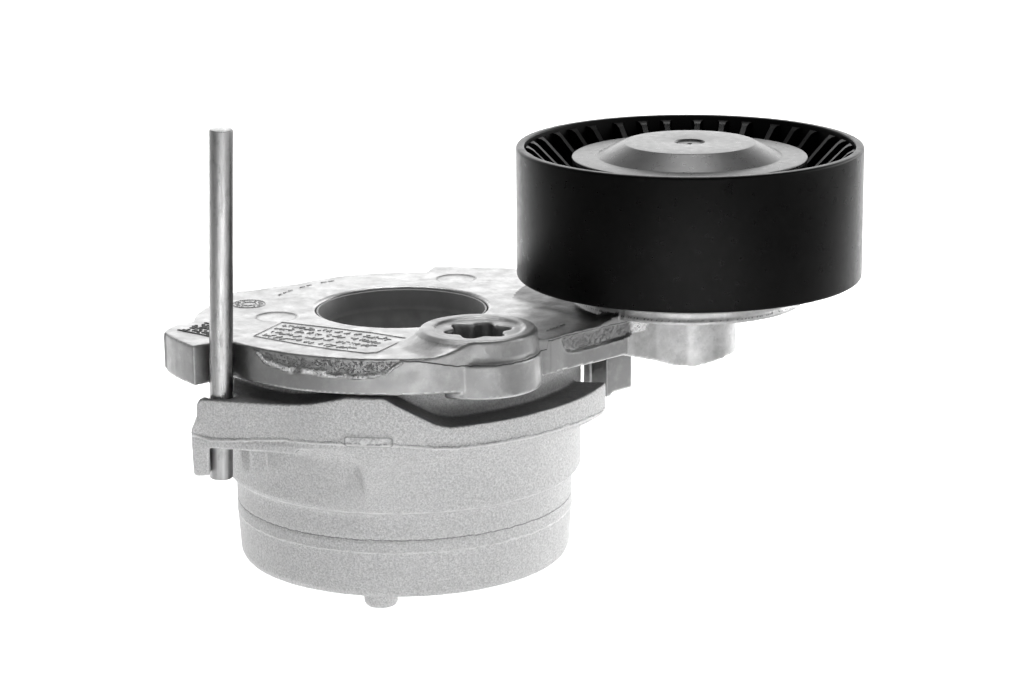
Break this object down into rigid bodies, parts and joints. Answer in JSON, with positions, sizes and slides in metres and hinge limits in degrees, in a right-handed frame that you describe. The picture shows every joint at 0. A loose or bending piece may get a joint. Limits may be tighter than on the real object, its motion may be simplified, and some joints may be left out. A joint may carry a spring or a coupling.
{
  "type": "belt tensioner idler",
  "caption": "Spring-loaded belt tensioner: a cast base and swinging arm on a pivot tube carry a smooth plastic idler pulley on a ball bearing, locked by a pull-out pin.",
  "frame": {"origin": "centre of the mounting bolt bore on the base's mounting face", "axes": "+Z along the pivot axis from the mounting face towards the arm and pulley; +X from the pivot towards the pulley"},
  "size_m": [0.1395, 0.082, 0.0973],
  "materials": {
    "blasted_casting": "fine-grained blasted die casting",
    "arm_casting": "smooth mottled die casting",
    "coated_tube_steel": "dark coated, semi-matt",
    "washer_polymer": "natural nylon",
    "seat_polymer": "moulded",
    "spring_steel": "oiled dark steel",
    "bush_polymer": "filled bearing polymer",
    "shoe_polymer": "filled nylon",
    "plain_steel": "machined",
    "shield_steel": "bright pressed sheet",
    "bearing_steel": "ground",
    "bolt_steel": "zinc plated",
    "pulley_plastic": "semi-gloss moulded",
    "seal_rubber": "matt",
    "cap_plastic": "satin moulded",
    "cage_polymer": "moulded",
    "pin_steel": "drawn bright steel with light stains"
  },
  "bodies": {
    "base": {"base_housing": "blasted_casting", "pivot_tube": "coated_tube_steel", "thrust_washer": "washer_polymer", "lower_spring_seat": "seat_polymer", "torsion_spring": "spring_steel", "retaining_ring": "spring_steel"},
    "arm": {"tensioner_arm": "arm_casting", "upper_pivot_bush": "bush_polymer", "lower_pivot_bush": "bush_polymer", "damping_shoe": "shoe_polymer", "shoe_backing": "plain_steel", "rear_dust_shield": "shield_steel", "rear_spacer": "plain_steel", "pulley_sleeve": "plain_steel", "bearing_inner_ring": "bearing_steel", "pulley_bolt": "bolt_steel"},
    "pulley": {"pulley_rim": "pulley_plastic", "bearing_outer_ring": "bearing_steel", "bearing_seal_front": "seal_rubber", "bearing_seal_rear": "seal_rubber", "dust_cap": "cap_plastic"},
    "cage": {"bearing_balls": "bearing_steel", "ball_cage": "cage_polymer"},
    "pin": {"locking_pin": "pin_steel"}
  },
  "joints": [
    {"name": "arm_swing", "type": "hinge", "parent": "base", "child": "arm", "pos_m": [0, 0, 0.0475], "axis": [0, 0, 1], "range_deg": [-13, 0], "stiffness_Nm_per_rad": 19.3, "springref_deg": 51.57, "deforming": ["torsion_spring"]},
    {"name": "pulley_spin", "type": "hinge", "parent": "arm", "child": "pulley", "pos_m": [0.0584, 0.0037, 0.07], "axis": [0, 0, 1], "continuous": true},
    {"name": "cage_spin", "type": "hinge", "parent": "arm", "child": "cage", "pos_m": [0.0584, 0.0037, 0.07], "axis": [0, 0, 1], "continuous": true},
    {"name": "pin_pull", "type": "slide", "parent": "base", "child": "pin", "axis": [0.036, -0.0403, 0.9985], "range_m": [0, 0.03]}
  ],
  "couplings": [
    {"joint": "cage_spin", "follows": "pulley_spin", "ratio": 0.6182}
  ]
}
